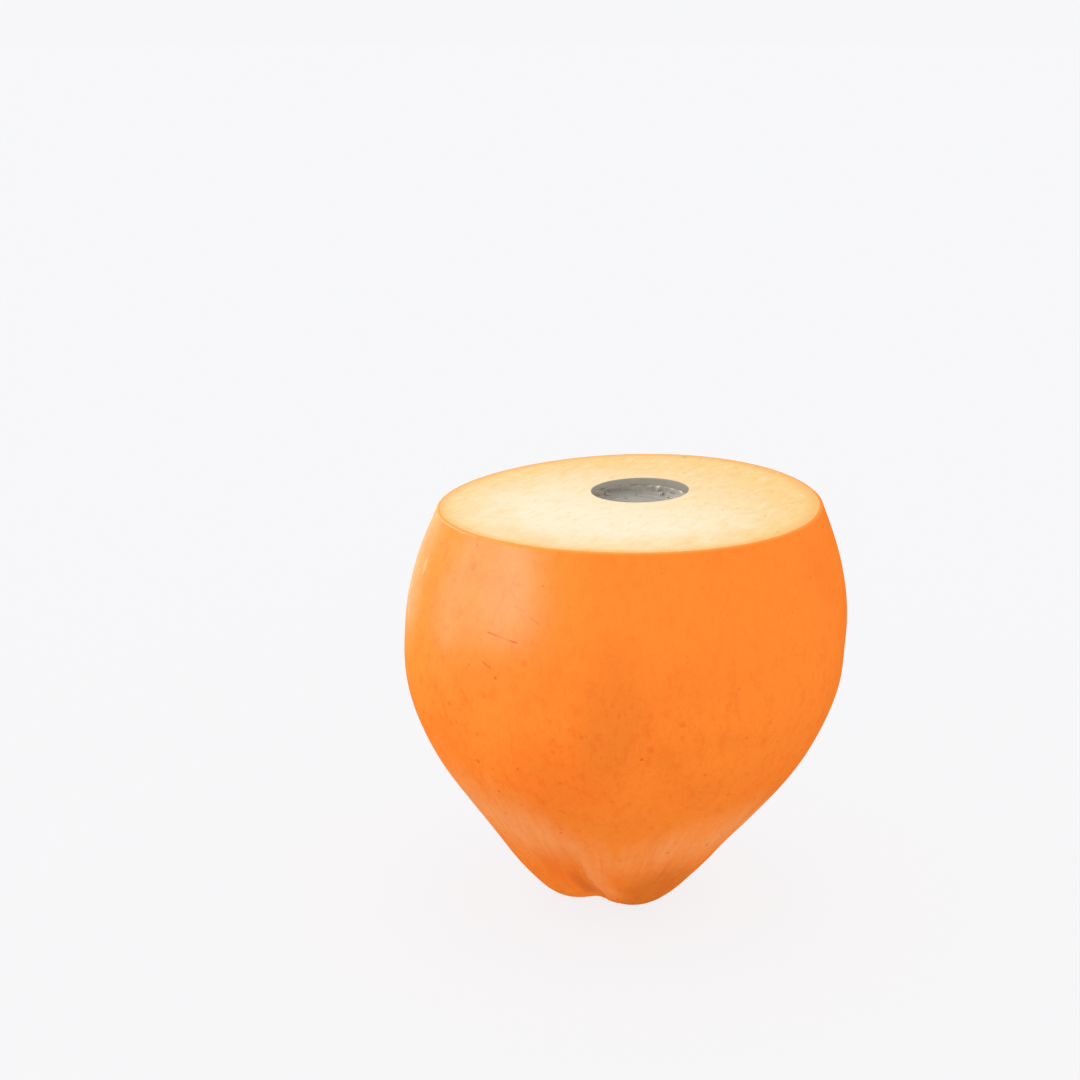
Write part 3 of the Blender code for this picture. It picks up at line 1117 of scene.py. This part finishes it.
def cream_tone(paint, from_skin):
    """Palest at the front left, yellower near the skin, at the left end and on the far right, and
    amber along the skin."""
    cloud = paint.noise(9 * MM, 5, 0.6)
    wander = paint.times(paint.minus(cloud, 0.5), 24 * MM)
    side = paint.towards(paint.place, YELLOW_SIDE)
    depth = paint.maths("ADD", from_skin, wander)
    depth = paint.minus(depth, paint.times(side, 0.11))
    pale = paint.step(depth, -3 * MM, 32 * MM)
    pale = paint.times(pale, paint.step(side, -35 * MM, 38 * MM, 1.1, 0.33))
    left = paint.towards(paint.place, LEFT)
    pale = paint.times(pale, paint.step(left, 15 * MM, 60 * MM, 1, 0.7))
    tone = paint.mix(YELLOW_CREAM, PALE_CREAM, pale)
    edge = paint.maths("ADD", from_skin, paint.times(wander, 0.08))
    edge = paint.minus(edge, paint.times(side, 0.015))
    return paint.mix(RIM_AMBER, tone, paint.step(edge, -0.6 * MM, 5 * MM))


def cream_pulp():
    paint = Paint("cream_pulp")
    from_skin = paint.add("Attribute", attribute_name="from_skin").outputs["Fac"]
    tone = cream_tone(paint, from_skin)
    fibre = paint.noise(1.3 * MM, 4, 0.65, at=along_fibres(paint, 0.3))
    brushed = paint.noise(3.2 * MM, 3, 0.6, at=along_fibres(paint, 0.4), seed=6)
    inside = paint.step(from_skin, 2 * MM, 9 * MM)
    tone = paint.tint(tone, FIBRE_TINT, paint.step(fibre, 0.5, 0.72, 0, 0.8))
    tone = paint.tint(tone, BRUSHED_TINT, paint.step(brushed, 0.5, 0.66, 0, 0.8))
    bright = paint.times(paint.step(brushed, 0.48, 0.3, 0, 0.35), inside)
    tone = paint.mix(tone, PALE_CREAM, bright)
    pits = fibre_pits(paint)
    tone = paint.tint(tone, PIT_TINT, paint.times(pits, 0.8))
    # The wall of the hole takes the shell's taupe: partly a wet stain, partly painted shade down
    # in the hole.
    off_hole = paint.vector("SUBTRACT", paint.place, (*HOLE_CENTRE, 0))
    from_hole = paint.vector("LENGTH", paint.vector("MULTIPLY", off_hole, (1, 1, 0)))
    wall = paint.step(from_hole, HOLE_RADIUS + 0.02 * MM, HOLE_RADIUS + 0.3 * MM, 1, 0)
    tone = paint.mix(tone, TAUPE, wall)
    normal = paint.bump(fibre, 0.1 * MM)
    normal = paint.bump(paint.times(pits, -1.0), 0.3 * MM, normal)
    return paint.finish(Base_Color=tone, Roughness=0.7, Normal=normal, Specular_IOR_Level=0.1)


def hard_shell():
    paint = Paint("grey_brown_shell")
    cloud = paint.noise(5 * MM, 4, 0.6)
    tone = paint.mix(TAUPE, DARK_TAUPE, paint.step(cloud, 0.45, 0.75))
    fibre_at = paint.vector("MULTIPLY", paint.place, (1, 1, 0.25))
    fibre = paint.noise(0.8 * MM, 3, 0.6, at=fibre_at)
    tone = paint.tint(tone, SHELL_FIBRE_TINT, paint.step(fibre, 0.45, 0.7, 0, 0.7))
    return paint.finish(Base_Color=tone, Roughness=0.4, Normal=paint.bump(fibre, 0.08 * MM))


def cloudy_water():
    paint = Paint("cloudy_water")
    haze = paint.noise(8 * MM, 3)
    tone = paint.mix(CLEAR_WATER, HAZY_WATER, haze)
    return paint.finish(Base_Color=tone, Roughness=0.04, Transmission_Weight=0.35, IOR=1.333)


# Light, floor and camera.

BACKGROUND = (0.930, 0.930, 0.947, 1)
FLOOR_SIZE, FLOOR_GREY, FLOOR_GLOW = 80, 0.11, 0.880
WALL_REACH, WALL_SIDES, WALL_GREY, WALL_GLOW = 6, 128, 0.0, 1.0
ROOM_BELOW, ROOM_LEVEL, ROOM_ABOVE = 0.55, 1.33, 0.925
PANEL_DISTANCE = 0.5
LIT_MIDDLE = Vector((0, 0, 0.12))  # where the panels face
STRIPS = (  # each strip's degrees round, degrees up, width and height, and watts
    (-58, -1, (0.36, 0.30), 1.75),
    (-1, 8, (0.13, 0.38), 2.2),
    (24.5, 14, (0.155, 0.27), 3.45),
    (-30, 22, (0.25, 0.14), 1.7),
)
FILL = (-7, 35, (0.4, 0.26), 1.65)
VIEW_ELEVATION = math.radians(14.9)
VIEW_DISTANCE = 684 * MM
VIEW_TARGET = Vector((1.59, -1.0, 138.2)) * MM
FRAME_SHIFT = Vector((-29.5, 0, -14)) * MM  # from the target to the middle of the picture
LENS = 70  # millimetres


def finish_stage(thing, name, grey, glow):
    """Names and paints a part of the stage, and keeps it out of the fruit's light and gloss."""
    thing.name = name
    paint = Paint("pale_" + name)
    paint.finish(
        Base_Color=(grey, grey, grey),
        Roughness=0.9,
        Specular_IOR_Level=0.0,
        Emission_Color=BACKGROUND,
        Emission_Strength=glow,
    )
    thing.data.materials.append(paint.material)
    thing.visible_diffuse = False
    thing.visible_glossy = False
    thing.visible_transmission = False
    thing.visible_shadow = False


def make_floor():
    """A pale floor that catches a faint shadow, inside a round wall well beyond the camera."""
    clear_selection()
    bpy.ops.mesh.primitive_cylinder_add(
        vertices=WALL_SIDES,
        radius=WALL_REACH,
        depth=2 * WALL_REACH,
        end_fill_type="NOTHING",
    )
    finish_stage(bpy.context.object, "far_wall", WALL_GREY, WALL_GLOW)
    bpy.ops.mesh.primitive_plane_add(size=FLOOR_SIZE)
    floor = bpy.context.object
    finish_stage(floor, "floor", FLOOR_GREY, FLOOR_GLOW)
    return floor


def make_world():
    """A pale room, brightest level with the eyes and dimmest underfoot, kept out of the gloss."""
    world = bpy.data.worlds.new("pale_room")
    bpy.context.scene.world = world
    world.use_nodes = True
    nodes, links = world.node_tree.nodes, world.node_tree.links
    parts = nodes.new("ShaderNodeSeparateXYZ")
    links.new(nodes.new("ShaderNodeTexCoord").outputs["Generated"], parts.inputs[0])
    rise = nodes.new("ShaderNodeMapRange")
    rise.inputs["From Min"].default_value = -1
    links.new(parts.outputs["Z"], rise.inputs["Value"])
    ramp = nodes.new("ShaderNodeValToRGB")
    links.new(rise.outputs["Result"], ramp.inputs["Fac"])
    ramp.color_ramp.elements.new(0.5)
    for stop, glow in zip(ramp.color_ramp.elements, (ROOM_BELOW, ROOM_LEVEL, ROOM_ABOVE)):
        stop.color = (glow / ROOM_LEVEL, glow / ROOM_LEVEL, glow / ROOM_LEVEL, 1)
    background = nodes["Background"]
    links.new(ramp.outputs["Color"], background.inputs["Color"])
    background.inputs["Strength"].default_value = ROOM_LEVEL
    world.cycles_visibility.glossy = False
    world.cycles.sampling_method = "NONE"


def make_panel(name, azimuth, elevation, size, power):
    """A soft light that faces the fruit. Azimuth 0 is on its left, and 90 degrees in front."""
    lamp = bpy.data.lights.new(name, "AREA")
    lamp.shape = "RECTANGLE"
    lamp.size, lamp.size_y = size
    lamp.energy = power
    panel = bpy.data.objects.new(name, lamp)
    bpy.context.scene.collection.objects.link(panel)
    turn, rise = math.radians(azimuth), math.radians(elevation)
    level = math.cos(rise)
    inwards = Vector((math.cos(turn) * level, math.sin(turn) * level, -math.sin(rise)))
    panel.location = LIT_MIDDLE - inwards * PANEL_DISTANCE
    panel.rotation_euler = inwards.to_track_quat("-Z", "Y").to_euler()
    panel.visible_camera = False
    return panel


def light_the_left(*unlit):
    """Strips that the skin's gloss shows as soft bands, and a broad fill for its colour, which
    passes over what is given."""
    for index, strip_setting in enumerate(STRIPS):
        strip = make_panel(f"strip_{index}", *strip_setting)
        strip.visible_diffuse = False
    fill = make_panel("fill", *FILL)
    fill.visible_glossy = False
    spared = bpy.data.collections.new("not_lit_by_fill")
    for thing in unlit:
        spared.objects.link(thing)
    for member in spared.collection_objects:
        member.light_linking.link_state = "EXCLUDE"
    fill.light_linking.receiver_collection = spared


def make_camera():
    data = bpy.data.cameras.new("camera")
    data.lens = LENS
    camera = bpy.data.objects.new("camera", data)
    bpy.context.scene.collection.objects.link(camera)
    back = Vector((0, -math.cos(VIEW_ELEVATION), math.sin(VIEW_ELEVATION)))
    camera.location = VIEW_TARGET + back * VIEW_DISTANCE
    aim = VIEW_TARGET + FRAME_SHIFT - camera.location
    camera.rotation_euler = aim.to_track_quat("-Z", "Y").to_euler()
    bpy.context.scene.camera = camera


def dress(piece, material, slot, *nodes):
    """Gives a piece its material and smooth shading, puts it on the body that it rides on, and
    hides the frame's solids that it stands for.
    """
    piece.data.materials.clear()
    piece.data.materials.append(material)
    take(piece)
    bpy.ops.object.shade_smooth_by_angle(angle=SMOOTH_ANGLE)
    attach(piece, "root")
    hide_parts(*nodes)


cage = draw_wall_cage()
dress(build_skin(cage), orange_skin(), "orange_husk", "husk")
pulp = build_pulp(cage)
dress(pulp, cream_pulp(), "orange_husk", "husk")
dress(build_shell(), hard_shell(), "hard_shell", "shell")
dress(build_water(), cloudy_water(), "coconut_water", "coconut_water")
bpy.data.objects.remove(cage, do_unlink=True)

light_the_left(make_floor(), pulp)
make_world()
make_camera()
bpy.context.scene.view_settings.view_transform = "Standard"
